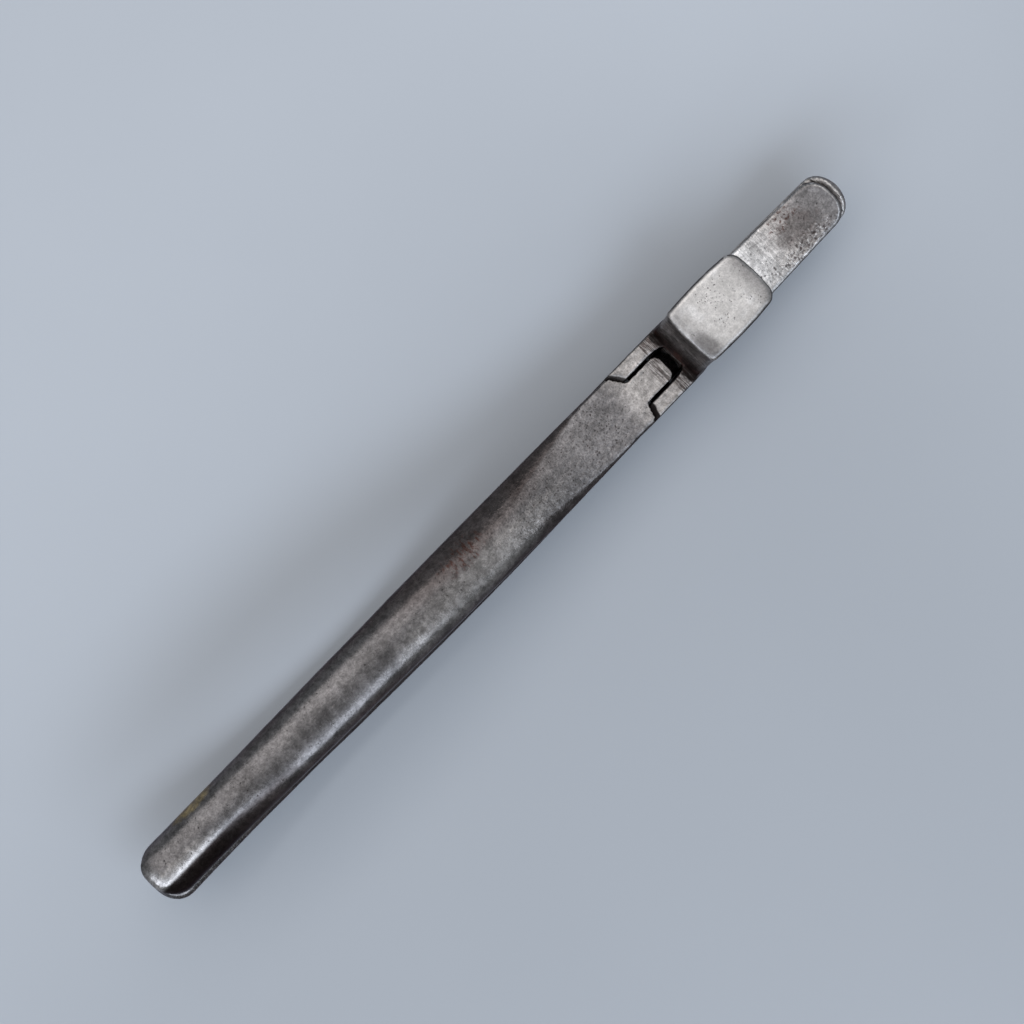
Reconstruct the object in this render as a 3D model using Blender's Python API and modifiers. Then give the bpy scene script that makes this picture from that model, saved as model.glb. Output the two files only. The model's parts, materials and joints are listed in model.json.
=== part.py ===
"""Shoemaker's lasting pincers: two forged arms crossing in a box joint, with a hammer block on the upper jaw.

Every piece is modelled in the tool's own frame, with the rivet axis through the origin: X runs from
the rivet to the jaw tips, Y along the rivet and Z towards the hammer face. An empty then stands the
closed tool on its lower handle and lower jaw, with the world origin under the middle of its box.
"""

import math

import bmesh
import bpy
import numpy as np
from mathutils import Matrix, Vector

# Driving dimensions, in metres.

# Box joint
JOINT_HALF_WIDTH = 0.00735
JOINT_HALF_HEIGHT = 0.0100
ARM_SET_IN = 0.0001
TONGUE_HALF_WIDTH = 0.0032
TONGUE_NOSE = 0.0035
TONGUE_NOSE_LEAN = math.radians(21)
TONGUE_NOSE_CORNER = 0.0018
TONGUE_SIDE_GAP = 0.00065
TONGUE_NOSE_GAP = 0.0011
SLOT_CORNER = 0.0013
SHOULDER_SETBACK = 0.0052
LEFT_SHOULDER_FLARE = 0.0028
RIGHT_SHOULDER_FLARE = 0.0014
SHOULDER_GAP = 0.0007
JOINT_CORE_REACH = 0.0032
RIVET_RADIUS = 0.0030
RIVET_HEAD_FLARE = 0.0008
RIVET_FIT = 0.0001
RIVET_SUNK = 0.0001

# Handles: the upper edge of the upper handle is one cubic curve, and the lower handle mirrors it
HANDLE_ROOT_X = -0.0120
HANDLE_ROOT_PULL = 0.0330
HANDLE_BUTT_X = -0.1560
LOWER_HANDLE_EXTRA = 0.0030
HANDLE_BUTT_HEIGHT = 0.0163
HANDLE_SWELL_X = -0.0920
HANDLE_SWELL_HEIGHT = 0.0320
HANDLE_ROOT_GAP = 0.0020
HANDLE_BUTT_DEPTH = 0.0075
HANDLE_BUTT_HALF_WIDTH = 0.0065
HANDLE_WIDTH_SWELL = 0.00035
HANDLE_CROWN = 0.0042
HANDLE_RIDGE_RADIUS = 0.0150
HANDLE_INNER_EDGE = 0.0014
HANDLE_FACET_CREASE = math.radians(28)
UPPER_BUTT_SIDE_SET = 0.00105
LOWER_BOW_SIDE_SET = -0.0006
LOWER_BUTT_SIDE_SET = -0.0002
BUTT_CORNER = 0.0048
BUTT_ROLL = 0.0016

# The gently rounded ridge along each handle's outer face: how far it reaches towards +Y (left) and -Y
# (right), and where, as shares of the handle's length
WAIST_LEFT_RIDGE = 0.0022
WAIST_RIGHT_RIDGE = 0.0048
GRIP_LEFT_RIDGE = 0.0041
GRIP_RIGHT_RIDGE = 0.0054
BUTT_LEFT_RIDGE = 0.0048
BUTT_RIGHT_RIDGE = 0.0007
BUTT_CROWN = 0.0052
WAIST_SHARE = 0.34
GRIP_SHARE = 0.66

# Where along its length a handle is bevelled, swells, tapers and is set sideways, as (start, end) shares
BUTT_FACET_SHARES = (0.78, 0.92)
SWELL_SHARES = (0.00, 0.60)
TAPER_SHARES = (0.50, 0.95)
UPPER_BUTT_SHARES = (0.20, 1.00)
LOWER_BOW_SHARES = (0.00, 0.45)
LOWER_BUTT_SHARES = (0.62, 0.80)

# Jaws: both follow one mouth line, straight at the joint and then bent up in an arc to the tips
BEAK_START_X = 0.0200
BEAK_RADIUS = 0.0590
BEAK_ANGLE = math.radians(39)
LOWER_JAW_EXTRA = 0.0009
MOUTH_GAP = 0.0030
GRIP_GAP = 0.0003
GRIP_LENGTH = 0.0150
MOUTH_CLOSING_LENGTH = 0.0140
UPPER_TIP_DEPTH = 0.0013
LOWER_TIP_DEPTH = 0.0022
UPPER_JAW_TAPER = 1
LOWER_JAW_TAPER = 2
JAW_HALF_WIDTH = 0.0064
JAW_TIP_HALF_WIDTH = 0.0058
JAW_EDGE = 0.0006
MOUTH_EDGE = 0.0003
BELLY_EDGE = 0.0016
UPPER_JAW_SIDE_SET = 0.0002
LOWER_JAW_SIDE_SET = 0.0005
TIP_LENGTH = 0.0044
TIP_FLAT = 0.0010
TOOTH_COUNT = 7
TOOTH_PITCH = 0.0019
TOOTH_DEPTH = 0.00045

# Hammer block
HAMMER_FACE_HEIGHT = 0.0226
HAMMER_BACK_X = 0.0090
HAMMER_FRONT_X = 0.0293
HAMMER_HALF_WIDTH = 0.00763
HAMMER_SIDE_SET = 0.0001
HAMMER_FOOT_HALF_WIDTH = 0.0069
HAMMER_NECK_RISE = 0.0038
HAMMER_SCOOP = 0.0016
HAMMER_FOOT_SETBACK = 0.0040
HAMMER_FRONT_FLARE = 0.0015
HAMMER_FRONT_WAIST = 0.0008
HAMMER_EDGE = 0.0009
HAMMER_BACK_BARREL = 0.0003
HAMMER_FRONT_BARREL = 0.0007
HAMMER_BACK_BOW = 0.0006
HAMMER_FRONT_BOW = 0.0005
HAMMER_BACK_CORNER = 0.0010
HAMMER_FRONT_CORNER = 0.0022

# Largest shares of a section's depth and width that its rounds may take
CROWN_LIMIT = 0.70
EDGE_LIMIT = 0.25
FLAT_LIMIT = 0.90

# Fineness of the facets
CORNER_STEPS = 5
HANDLE_STEPS = 26
JAW_STEPS = 16
END_STEPS = 4
BUTT_STEPS = 6
TIP_STEPS = 6
ROUND_STEPS = 64
HAMMER_STEPS = 8
RIDGE_STEPS = 3
HAMMER_SIDE_STEPS = 4
HAMMER_BOW_STEPS = 3
RIM_STEPS = 3
SHARP_ANGLE = math.radians(30)
WELD_DISTANCE = 0.00001

# Sizes that follow from the ones above
ARM_HALF_WIDTH = JOINT_HALF_WIDTH - ARM_SET_IN
CHEEK_HALF_HEIGHT = JOINT_HALF_HEIGHT - ARM_SET_IN
TONGUE_HALF_HEIGHT = JOINT_HALF_HEIGHT - ARM_SET_IN / 2
TONGUE_RADIUS = math.hypot(TONGUE_NOSE, JOINT_HALF_HEIGHT)
SLOT_RADIUS = TONGUE_RADIUS + TONGUE_NOSE_GAP
SLOT_HALF_WIDTH = TONGUE_HALF_WIDTH + TONGUE_SIDE_GAP
SHOULDER_RADIUS = math.hypot(SHOULDER_SETBACK, JOINT_HALF_HEIGHT)
LEFT_RIM_RADIUS = math.hypot(SHOULDER_SETBACK + LEFT_SHOULDER_FLARE, JOINT_HALF_HEIGHT)
RIGHT_RIM_RADIUS = math.hypot(SHOULDER_SETBACK + RIGHT_SHOULDER_FLARE, JOINT_HALF_HEIGHT)
HANDLE_ROOT_DEPTH = JOINT_HALF_HEIGHT - HANDLE_ROOT_GAP / 2
JAW_ROOT_DEPTH = JOINT_HALF_HEIGHT - MOUTH_GAP / 2
JAW_ROOT = SLOT_RADIUS
NOSE_ARC = math.radians(80)
MOUTH_LENGTH = BEAK_START_X + BEAK_RADIUS * BEAK_ANGLE
SIDES = {"lower": -1, "upper": 1}


def clear_scene():
    for item in list(bpy.data.objects):
        bpy.data.objects.remove(item, do_unlink=True)


def new_collection(name):
    collection = bpy.data.collections.new(name)
    bpy.context.scene.collection.children.link(collection)
    return collection


def add_mesh(name, shape, collection):
    """A named object from a bmesh, with its faces turned outwards."""
    bmesh.ops.recalc_face_normals(shape, faces=shape.faces)
    mesh = bpy.data.meshes.new(name)
    shape.to_mesh(mesh)
    shape.free()
    item = bpy.data.objects.new(name, mesh)
    collection.objects.link(item)
    return item


def helper(name, shape, collection):
    """A body that only joins or cuts another one."""
    item = add_mesh(name, shape, collection)
    item.hide_render = True
    item.display_type = "WIRE"
    return item


def combine(item, other, operation):
    change = item.modifiers.new(other.name, "BOOLEAN")
    change.operation = operation
    change.solver = "EXACT"
    change.object = other


def steel(name, colour, roughness):
    material = bpy.data.materials.new(name)
    material.use_nodes = True
    shader = material.node_tree.nodes["Principled BSDF"]
    shader.inputs["Base Color"].default_value = (*colour, 1.0)
    shader.inputs["Roughness"].default_value = roughness
    shader.inputs["Metallic"].default_value = 1.0
    return material


def between(first, last, share):
    return first + (last - first) * share


def eased(share):
    """0 to 1 with a soft start and end."""
    share = min(max(share, 0.0), 1.0)
    return share * share * (3 - 2 * share)


def progress(share, shares):
    """How far a change that runs between two shares of the length has come, from 0 to 1."""
    start, end = shares
    return min(max((share - start) / (end - start), 0.0), 1.0)


def quarter_round(flat, half_width, crown, crease):
    """(distance from the mid-plane, drop) from the edge of the flat round to the side."""
    points = []
    for step in range(CORNER_STEPS + 1):
        angle = between(crease, math.pi / 2, step / CORNER_STEPS)
        share = (math.sin(angle) - math.sin(crease)) / (1 - math.sin(crease))
        drop = crown * (1 - math.cos(angle) / math.cos(crease))
        points.append((between(flat, half_width, share), drop))
    return points


def half_section(half_width, depth, flat, crown, edge, crease, ridge_bend, ridge_steps):
    """(distance from the mid-plane, inward) from the outer face round to the inner face.

    The outer face is a flat, or a ridge whose bend is one over its radius.
    """
    crown = min(crown, CROWN_LIMIT * depth)
    edge = min(edge, EDGE_LIMIT * depth, FLAT_LIMIT * half_width)
    flat = min(max(flat, (1 - FLAT_LIMIT) * half_width), FLAT_LIMIT * half_width)
    sag = flat * flat * ridge_bend / 2
    shares = [step / ridge_steps for step in range(1, ridge_steps)]
    ridge = [(flat * share, sag * share**2) for share in shares]
    crease = max(crease, math.atan(flat * ridge_bend))
    outer = [(across, sag + drop) for across, drop in quarter_round(flat, half_width, crown - sag, crease)]
    inner = quarter_round(half_width - edge, half_width, edge, 0.0)
    return ridge + outer + [(across, depth - drop) for across, drop in reversed(inner)]


def closed(left, right):
    """One closed section as (across, inward) pairs, from its halves towards +Y and -Y."""
    return left + [(-across, inward) for across, inward in reversed(right)]


def loft(stations):
    """A closed body through stations of (outer point, inward direction, sideways place, section)."""
    shape = bmesh.new()
    rings = []
    for outer, inward, sideways, points in stations:
        ring = []
        for across, depth in points:
            place = outer + inward * depth
            ring.append(shape.verts.new((place.x, sideways + across, place.y)))
        rings.append(ring)
    for ring, following in zip(rings, rings[1:]):
        for index in range(len(ring)):
            after = (index + 1) % len(ring)
            shape.faces.new((ring[index], ring[after], following[after], following[index]))
    shape.faces.new(rings[0])
    shape.faces.new(reversed(rings[-1]))
    return shape


def cubic(points, share):
    """Point on a cubic curve and its direction there."""
    a, b, c, d = points
    rest = 1 - share
    place = a * rest**3 + b * 3 * rest**2 * share + c * 3 * rest * share**2 + d * share**3
    slope = (b - a) * rest**2 + (c - b) * 2 * rest * share + (d - c) * share**2
    return place, slope.normalized()


def handle_section(share, narrower=0.0, thinner=0.0):
    """The handle's section: square at the joint, faceted at the waist, then rounder and bevelled."""
    waist = eased(share / WAIST_SHARE)
    grip = eased(progress(share, (WAIST_SHARE, GRIP_SHARE)))
    butt = eased(progress(share, BUTT_FACET_SHARES))
    swell = HANDLE_WIDTH_SWELL * math.sin(math.pi * progress(share, SWELL_SHARES))
    taper = eased(progress(share, TAPER_SHARES))
    half_width = between(ARM_HALF_WIDTH, HANDLE_BUTT_HALF_WIDTH, taper) + swell
    depth = between(HANDLE_ROOT_DEPTH, HANDLE_BUTT_DEPTH, share)
    edge = between(JAW_EDGE, HANDLE_INNER_EDGE, waist)
    crease = HANDLE_FACET_CREASE * (1 - grip)
    crown = between(JAW_EDGE, HANDLE_CROWN, waist)
    joint_ridge = half_width - JAW_EDGE
    left_ridge = between(between(joint_ridge, WAIST_LEFT_RIDGE, waist), GRIP_LEFT_RIDGE, grip)
    right_ridge = between(between(joint_ridge, WAIST_RIGHT_RIDGE, waist), GRIP_RIGHT_RIDGE, grip)
    left_ridge = between(left_ridge, BUTT_LEFT_RIDGE, butt)
    right_ridge = between(right_ridge, BUTT_RIGHT_RIDGE, butt)
    right_crown = between(crown, BUTT_CROWN, butt)
    size = (half_width - narrower, depth - 2 * thinner)
    ridge = (waist / HANDLE_RIDGE_RADIUS, RIDGE_STEPS)
    left = half_section(*size, left_ridge, crown, edge, crease, *ridge)
    return closed(left, half_section(*size, right_ridge, right_crown, edge, crease, *ridge))


def upper_side_set(share):
    return UPPER_BUTT_SIDE_SET * eased(progress(share, UPPER_BUTT_SHARES))


def lower_side_set(share):
    bow = LOWER_BOW_SIDE_SET * eased(progress(share, LOWER_BOW_SHARES))
    return between(bow, LOWER_BUTT_SIDE_SET, eased(progress(share, LOWER_BUTT_SHARES)))


def handle_body(side, extra, side_set):
    """One handle from inside the joint to its rounded butt. side is 1 for the upper one, -1 for the lower."""
    root = Vector((HANDLE_ROOT_X, JOINT_HALF_HEIGHT))
    butt = Vector((HANDLE_BUTT_X - extra + BUTT_CORNER, HANDLE_BUTT_HEIGHT))
    swell = Vector((HANDLE_SWELL_X, HANDLE_SWELL_HEIGHT))
    curve = (root, root - Vector((HANDLE_ROOT_PULL, 0)), swell, butt)
    mirror = Vector((1, side))
    stations = []

    def add(outer, along, share, points):
        inward = Vector((-along.y, along.x))
        stations.append((outer * mirror, inward * mirror, side_set(share), points))

    inside = Vector((-JOINT_CORE_REACH, JOINT_HALF_HEIGHT))
    add(inside, Vector((-1, 0)), 0.0, handle_section(0.0))
    for step in range(HANDLE_STEPS + 1):
        share = step / HANDLE_STEPS
        outer, along = cubic(curve, share)
        add(outer, along, share, handle_section(share))
    for step in range(1, BUTT_STEPS + 1):
        angle = math.pi / 2 * step / BUTT_STEPS
        narrower = BUTT_CORNER * (1 - math.cos(angle))
        thinner = BUTT_ROLL * (1 - math.cos(angle))
        inward = Vector((-along.y, along.x))
        place = outer + along * BUTT_CORNER * math.sin(angle) + inward * thinner
        add(place, along, 1.0, handle_section(1.0, narrower, thinner))
    return loft(stations)


def mouth(length):
    """Point of the mouth line this far from the rivet, and its upward normal."""
    angle = max(length - BEAK_START_X, 0.0) / BEAK_RADIUS
    straight = min(length, BEAK_START_X)
    rise = BEAK_RADIUS * (1 - math.cos(angle))
    place = Vector((straight + BEAK_RADIUS * math.sin(angle), rise))
    return place, Vector((-math.sin(angle), math.cos(angle)))


def mouth_gap(length):
    open_share = eased((MOUTH_LENGTH - GRIP_LENGTH - length) / MOUTH_CLOSING_LENGTH)
    return between(GRIP_GAP, MOUTH_GAP, open_share)


def jaw_body(side, reach, tip_depth, taper_power, edge, side_set):
    """One jaw from inside the joint to its round tip. side is 1 for the upper jaw, -1 for the lower."""
    stations = []

    def add(length, narrower=0.0):
        share = max(length - JAW_ROOT, 0.0) / (reach - JAW_ROOT)
        depth = between(JAW_ROOT_DEPTH, tip_depth, share**taper_power)
        narrowing = eased((length - JAW_ROOT) / (HAMMER_FRONT_X - JAW_ROOT))
        half_width = between(ARM_HALF_WIDTH, JAW_HALF_WIDTH, narrowing)
        half_width = min(half_width, between(JAW_HALF_WIDTH, JAW_TIP_HALF_WIDTH, 2 * share - 1))
        half_width -= narrower
        place, up = mouth(length)
        outer = place + up * side * (mouth_gap(length) / 2 + depth)
        half = half_section(half_width, depth, half_width - edge, edge, MOUTH_EDGE, 0.0, 0.0, 1)
        stations.append((outer, up * -side, side_set * narrowing, closed(half, half)))

    add(JOINT_CORE_REACH)
    body_end = reach - TIP_LENGTH
    for step in range(JAW_STEPS + 1):
        add(between(JAW_ROOT, body_end, step / JAW_STEPS))
    for step in range(1, TIP_STEPS + 1):
        angle = math.pi / 2 * step / TIP_STEPS
        narrower = (JAW_TIP_HALF_WIDTH - TIP_FLAT) * (1 - math.cos(angle))
        add(body_end + TIP_LENGTH * math.sin(angle), narrower)
    return loft(stations)


def add_frustum(shape, start, end, start_radius, end_radius):
    """A round body on the Y axis, from start to end along it."""
    turn = Matrix.Rotation(-math.pi / 2, 4, "X")
    middle = Matrix.Translation((0, (start + end) / 2, 0))
    if end < start:
        start_radius, end_radius = end_radius, start_radius
    bmesh.ops.create_cone(
        shape,
        cap_ends=True,
        segments=ROUND_STEPS,
        radius1=start_radius,
        radius2=end_radius,
        depth=abs(end - start),
        matrix=middle @ turn,
    )


def trim_flat(shape, half_height):
    """Cuts a body level above and below the rivet axis."""
    for side in SIDES.values():
        everything = shape.verts[:] + shape.edges[:] + shape.faces[:]
        cut = bmesh.ops.bisect_plane(
            shape,
            geom=everything,
            plane_co=(0, 0, side * half_height),
            plane_no=(0, 0, side),
            clear_outer=True,
        )
        rim = [part for part in cut["geom_cut"] if isinstance(part, bmesh.types.BMEdge)]
        bmesh.ops.edgenet_fill(shape, edges=rim)
    return shape


def tongue_core():
    shape = bmesh.new()
    reach = (TONGUE_HALF_WIDTH + JOINT_HALF_WIDTH) / 2
    add_frustum(shape, -reach, reach, TONGUE_RADIUS, TONGUE_RADIUS)
    return trim_flat(shape, TONGUE_HALF_HEIGHT)


def shoulder_cones(start, end, gap):
    """The coned seats between the tongue arm's shoulders and the cheeks, from start to end along Y."""
    shape = bmesh.new()
    for side, rim in ((1, LEFT_RIM_RADIUS), (-1, RIGHT_RIM_RADIUS)):
        slope = (rim - SHOULDER_RADIUS) / (JOINT_HALF_WIDTH - TONGUE_HALF_WIDTH)
        radii = [SHOULDER_RADIUS - gap + slope * (place - TONGUE_HALF_WIDTH) for place in (start, end)]
        add_frustum(shape, side * start, side * end, *radii)
    return shape


def nose_relief():
    """The space in front of the tongue's round nose, which leans forward on its way down."""
    flank = TONGUE_HALF_WIDTH - TONGUE_NOSE_CORNER
    corner_x = TONGUE_NOSE - TONGUE_NOSE_CORNER
    half = [(JOINT_HALF_WIDTH, SLOT_RADIUS), (JOINT_HALF_WIDTH, corner_x)]
    for step in range(CORNER_STEPS, -1, -1):
        angle = NOSE_ARC * step / CORNER_STEPS
        across = flank + TONGUE_NOSE_CORNER * math.sin(angle)
        half.append((across, corner_x + TONGUE_NOSE_CORNER * math.cos(angle)))
    outline = half + [(-across, along) for across, along in reversed(half)]
    stations = []
    for height in (0.0, 2 * JOINT_HALF_HEIGHT):
        lean = (JOINT_HALF_HEIGHT - height) * math.tan(TONGUE_NOSE_LEAN)
        stations.append((Vector((lean, height)), Vector((1, 0)), 0.0, outline))
    return loft(stations)


def hammer_outline(back, front, half_width, bulge):
    """One level of the block from above: tight corners at the back and rounder ones in front.

    The sides and ends are straight at a bulge of 0. At 1 the sides are fully barrelled and the ends bowed.
    """
    shares = [(step + 0.5) / HAMMER_BOW_STEPS for step in range(HAMMER_BOW_STEPS)]
    half = [(front, (half_width - HAMMER_FRONT_CORNER) * share) for share in shares]
    front_corner = front - HAMMER_FRONT_CORNER
    back_corner = back + HAMMER_BACK_CORNER
    corners = ((front_corner, HAMMER_FRONT_CORNER), (back_corner, HAMMER_BACK_CORNER))
    for turn, (corner_x, radius) in enumerate(corners):
        for step in range(CORNER_STEPS + 1):
            angle = math.pi / 2 * (turn + step / CORNER_STEPS)
            half.append((corner_x + radius * math.cos(angle), half_width - radius + radius * math.sin(angle)))
        if corner_x == front_corner:
            for step in range(1, HAMMER_SIDE_STEPS):
                half.append((between(front_corner, back_corner, step / HAMMER_SIDE_STEPS), half_width))
    half += [(back, (half_width - HAMMER_BACK_CORNER) * share) for share in reversed(shares)]
    middle, reach = (front + back) / 2, (front - back) / 2
    bulged = []
    for x, y in half:
        barrel = HAMMER_FRONT_BARREL if x > middle else HAMMER_BACK_BARREL
        bow = HAMMER_FRONT_BOW if x > middle else -HAMMER_BACK_BOW
        along = (x - middle) / reach
        out = bulge * bow * along**2 * (1 - (y / half_width) ** 2)
        bulged.append((x + out, y - bulge * barrel * along**2))
    return bulged + [(x, -y) for x, y in reversed(bulged)]


def hammer_block():
    """Stacked outlines from inside the upper jaw to the face, scooped at the back and flared at the top."""
    foot = JOINT_HALF_HEIGHT / 2
    neck = JOINT_HALF_HEIGHT + HAMMER_NECK_RISE
    rim = HAMMER_FACE_HEIGHT - HAMMER_EDGE
    foot_back = math.sqrt(SLOT_RADIUS**2 - JOINT_HALF_HEIGHT**2)

    def level(share):
        """Height, back, front, half width and bulge at this share of the way from the foot to the rim."""
        weights = ((1 - share) ** 2, 2 * share * (1 - share), share**2)
        backs = (foot_back - HAMMER_FOOT_SETBACK, HAMMER_BACK_X + HAMMER_SCOOP, HAMMER_BACK_X)
        fronts = (HAMMER_FRONT_X + HAMMER_FRONT_FLARE, HAMMER_FRONT_X - HAMMER_FRONT_WAIST, HAMMER_FRONT_X)
        half_widths = (HAMMER_FOOT_HALF_WIDTH, HAMMER_FOOT_HALF_WIDTH, HAMMER_HALF_WIDTH)
        controls = ((foot, neck, rim), backs, fronts, half_widths, (0.0, 0.0, 1.0))
        return [sum(weight * value for weight, value in zip(weights, row)) for row in controls]

    levels = [level(step / HAMMER_STEPS) for step in range(HAMMER_STEPS + 1)]
    for step in range(1, END_STEPS + 1):
        angle = math.pi / 2 * step / END_STEPS
        inset = HAMMER_EDGE * (1 - math.cos(angle))
        height = rim + HAMMER_EDGE * math.sin(angle)
        ends = (HAMMER_BACK_X + inset, HAMMER_FRONT_X - inset)
        levels.append((height, *ends, HAMMER_HALF_WIDTH - inset, 1.0))
    stations = []
    for height, back, front, half_width, bulge in levels:
        outline = [(y, x) for x, y in hammer_outline(back, front, half_width, bulge)]
        stations.append((Vector((0, height)), Vector((1, 0)), HAMMER_SIDE_SET * bulge, outline))
    return loft(stations)


def slot_cutter():
    """The disc of space that the tongue turns in, with round rims."""
    shape = bmesh.new()
    add_frustum(shape, -SLOT_HALF_WIDTH, SLOT_HALF_WIDTH, SLOT_RADIUS, SLOT_RADIUS)
    rims = [edge for edge in shape.edges if edge.verts[0].co.y * edge.verts[1].co.y > 0]
    bmesh.ops.bevel(shape, geom=rims, offset=SLOT_CORNER, segments=RIM_STEPS, profile=0.5, affect="EDGES")
    return shape


def tooth_cutter():
    """Square bars laid corner down along the mouth, each cutting one V in both gripping faces."""
    shape = bmesh.new()
    side = (TOOTH_DEPTH + GRIP_GAP / 2) * math.sqrt(2)
    for number in range(TOOTH_COUNT):
        length = MOUTH_LENGTH - TOOTH_PITCH * (number + 1)
        place, up = mouth(length)
        lean = math.atan2(-up.x, up.y)
        turn = Matrix.Rotation(math.pi / 4 - lean, 4, "Y")
        size = Matrix.Diagonal((side, 4 * JOINT_HALF_WIDTH, side, 1))
        move = Matrix.Translation((place.x, 0, place.y))
        bmesh.ops.create_cube(shape, size=1.0, matrix=move @ turn @ size)
    return shape


def rivet(name, radius_gap, end_gap, collection):
    """A turned rivet on the Y axis, flared at both ends. Gaps make the hole that it sits in."""
    radius = RIVET_RADIUS + radius_gap
    half_length = JOINT_HALF_WIDTH - RIVET_SUNK + end_gap
    neck = JOINT_HALF_WIDTH - RIVET_SUNK - RIVET_HEAD_FLARE
    head = radius + RIVET_HEAD_FLARE
    profile = [(0, half_length), (head, half_length)]
    if end_gap:
        profile.append((head, JOINT_HALF_WIDTH - RIVET_SUNK))
    profile += [(radius, neck), (radius, -neck)]
    if end_gap:
        profile.append((head, RIVET_SUNK - JOINT_HALF_WIDTH))
    profile += [(head, -half_length), (0, -half_length)]
    shape = bmesh.new()
    points = [shape.verts.new((x, 0, z)) for x, z in profile]
    for first, second in zip(points, points[1:]):
        shape.edges.new((first, second))
    item = add_mesh(name, shape, collection)
    item.rotation_euler.x = -math.pi / 2
    turning = item.modifiers.new("turned", "SCREW")
    turning.axis = "Z"
    turning.steps = ROUND_STEPS
    turning.render_steps = ROUND_STEPS
    turning.use_merge_vertices = True
    turning.merge_threshold = WELD_DISTANCE
    return item


def shade(item, material):
    item.data.materials.append(material)
    item.data.shade_smooth()
    item.data.set_sharp_from_angle(angle=SHARP_ANGLE)


def hammer_arm(parts, helpers, hole, teeth):
    handle = handle_body(SIDES["lower"], LOWER_HANDLE_EXTRA, lower_side_set)
    item = add_mesh("hammer_arm", handle, parts)
    tip = (UPPER_TIP_DEPTH, UPPER_JAW_TAPER)
    jaw = jaw_body(SIDES["upper"], MOUTH_LENGTH, *tip, JAW_EDGE, UPPER_JAW_SIDE_SET)
    cheeks = shoulder_cones(TONGUE_HALF_WIDTH / 2, JOINT_HALF_WIDTH, SHOULDER_GAP)
    combine(item, helper("upper_jaw", jaw, helpers), "UNION")
    combine(item, helper("cheeks", trim_flat(cheeks, CHEEK_HALF_HEIGHT), helpers), "UNION")
    combine(item, helper("hammer_block", hammer_block(), helpers), "UNION")
    combine(item, helper("slot", slot_cutter(), helpers), "DIFFERENCE")
    combine(item, hole, "DIFFERENCE")
    combine(item, teeth, "DIFFERENCE")
    shade(item, steel("hammer_arm_steel", (0.30, 0.29, 0.28), 0.38))
    return item


def tongue_arm(parts, helpers, hole, teeth):
    item = add_mesh("tongue_arm", handle_body(SIDES["upper"], 0.0, upper_side_set), parts)
    tip = (LOWER_TIP_DEPTH, LOWER_JAW_TAPER)
    jaw = jaw_body(SIDES["lower"], MOUTH_LENGTH + LOWER_JAW_EXTRA, *tip, BELLY_EDGE, LOWER_JAW_SIDE_SET)
    shoulders = shoulder_cones(TONGUE_HALF_WIDTH, 2 * JOINT_HALF_WIDTH, 0.0)
    combine(item, helper("lower_jaw", jaw, helpers), "UNION")
    combine(item, helper("tongue_core", tongue_core(), helpers), "UNION")
    combine(item, helper("shoulders", shoulders, helpers), "DIFFERENCE")
    combine(item, helper("nose_relief", nose_relief(), helpers), "DIFFERENCE")
    combine(item, hole, "DIFFERENCE")
    combine(item, teeth, "DIFFERENCE")
    shade(item, steel("tongue_arm_steel", (0.20, 0.19, 0.18), 0.36))
    return item


def evaluated_triangles(items):
    """Triangle corners of all the pieces in the tool's frame, as an array of shape (count, 3, 3)."""
    bpy.context.view_layer.update()
    graph = bpy.context.evaluated_depsgraph_get()
    corners = []
    for item in items:
        mesh = item.evaluated_get(graph).to_mesh()
        mesh.transform(item.matrix_world)
        mesh.calc_loop_triangles()
        for triangle in mesh.loop_triangles:
            corners.append([mesh.vertices[index].co[:] for index in triangle.vertices])
        item.evaluated_get(graph).to_mesh_clear()
    return np.array(corners)


def balance_x(triangles):
    """Where along the tool its centre of mass lies."""
    a, b, c = triangles[:, 0], triangles[:, 1], triangles[:, 2]
    volumes = np.einsum("ij,ij->i", a, np.cross(b, c))
    middles = (a + b + c)[:, 0] / 4
    return float((volumes * middles).sum() / volumes.sum())


def resting_pitch(triangles):
    """Nose-down angle at which the tool stands on the two lowest places either side of its centre of mass."""
    balance = balance_x(triangles)
    points = sorted({(x, z) for x, _, z in triangles.reshape(-1, 3).tolist()})
    hull = []
    for point in points:
        while len(hull) > 1:
            (ax, az), (bx, bz) = hull[-2:]
            if (bx - ax) * (point[1] - az) - (bz - az) * (point[0] - ax) > 0:
                break
            hull.pop()
        hull.append(point)
    for (ax, az), (bx, bz) in zip(hull, hull[1:]):
        if ax <= balance <= bx:
            return math.atan2(bz - az, bx - ax)
    return 0.0


def stand(items, helpers, collection):
    """Parents everything to an empty that stands the pieces on the ground, centred over the origin."""
    triangles = evaluated_triangles(items)
    turn = Matrix.Rotation(resting_pitch(triangles), 3, "Y")
    turned = triangles.reshape(-1, 3) @ np.array(turn).T
    low, high = turned.min(axis=0), turned.max(axis=0)
    base = bpy.data.objects.new("stance", None)
    collection.objects.link(base)
    base.location = (-(low[0] + high[0]) / 2, -(low[1] + high[1]) / 2, -low[2])
    base.rotation_euler = turn.to_euler()
    for item in items + list(helpers.objects):
        item.parent = base


def main():
    clear_scene()
    parts = new_collection("shoemakers_pincers")
    helpers = new_collection("joining_and_cutting_bodies")
    hole = rivet("rivet_hole", RIVET_FIT, JOINT_HALF_WIDTH, helpers)
    hole.hide_render = True
    hole.display_type = "WIRE"
    teeth = helper("teeth", tooth_cutter(), helpers)
    joint_rivet = rivet("joint_rivet", 0.0, 0.0, parts)
    joint_rivet.modifiers.new("flat_ends", "WEIGHTED_NORMAL")
    shade(joint_rivet, steel("rivet_steel", (0.33, 0.31, 0.29), 0.34))
    pieces = [
        hammer_arm(parts, helpers, hole, teeth),
        tongue_arm(parts, helpers, hole, teeth),
        joint_rivet,
    ]
    stand(pieces, helpers, parts)


main()
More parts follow.
